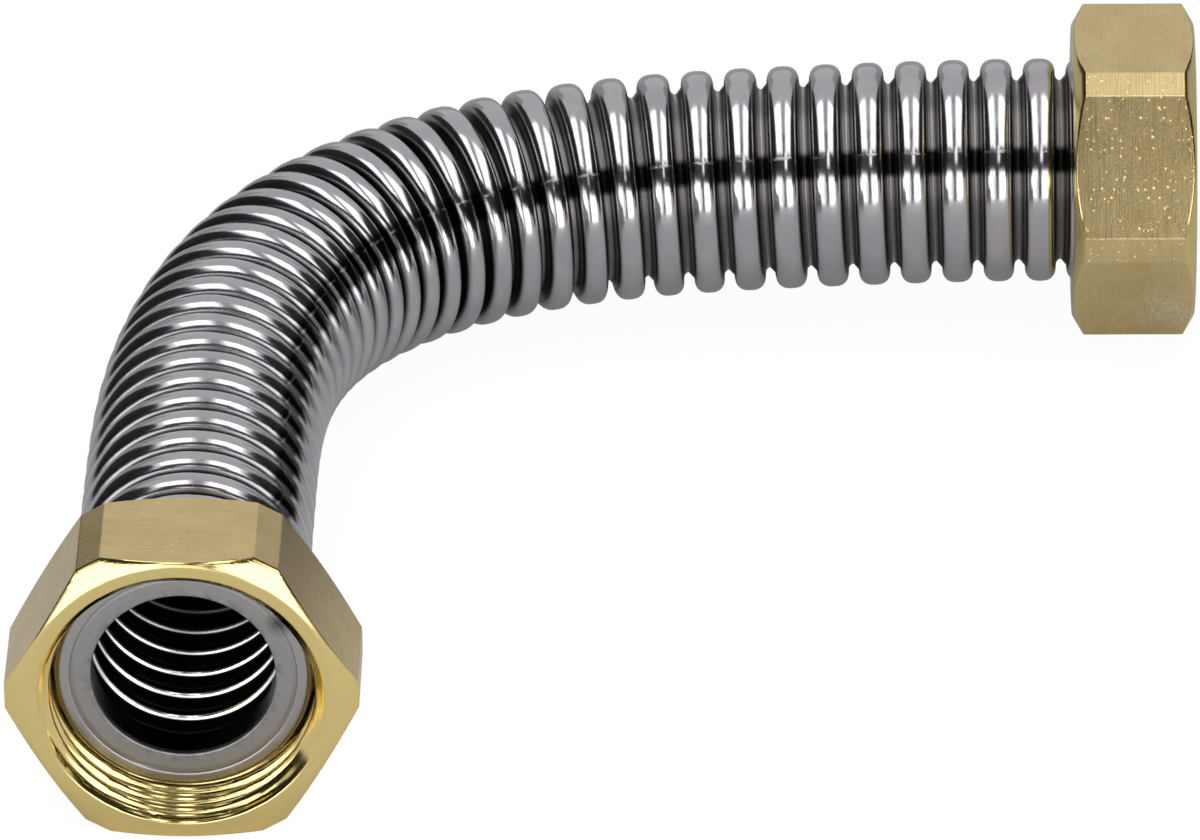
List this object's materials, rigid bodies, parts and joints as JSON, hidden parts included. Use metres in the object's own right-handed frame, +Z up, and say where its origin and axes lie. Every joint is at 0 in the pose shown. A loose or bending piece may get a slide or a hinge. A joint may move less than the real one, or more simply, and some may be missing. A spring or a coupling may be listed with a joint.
{
  "type": "corrugated metal hose",
  "caption": "Short corrugated stainless steel hose, bent through a right angle, with a loose brass union nut on a formed flange at each end.",
  "frame": {"origin": "middle of the footprint, on the plane that the nuts' lower flats rest on", "axes": "+Z up; the front nut's mouth faces -Y and the rear nut's mouth faces +X"},
  "size_m": [0.1134, 0.1174, 0.03],
  "materials": {
    "stainless_steel": "polished, formed from thin tube",
    "brass": "machined and forged, lightly worn"
  },
  "bodies": {
    "hose": {"hose": "stainless_steel"},
    "front_nut": {"front_union_nut": "brass"},
    "rear_nut": {"rear_union_nut": "brass"}
  },
  "joints": [
    {"name": "front_nut_turn", "type": "hinge", "parent": "hose", "child": "front_nut", "pos_m": [-0.04013, -0.05865, 0.015], "axis": [0, 1, 0], "continuous": true},
    {"name": "rear_nut_turn", "type": "hinge", "parent": "hose", "child": "rear_nut", "pos_m": [0.05668, 0.0421, 0.015], "axis": [1, 0, 0], "continuous": true}
  ]
}
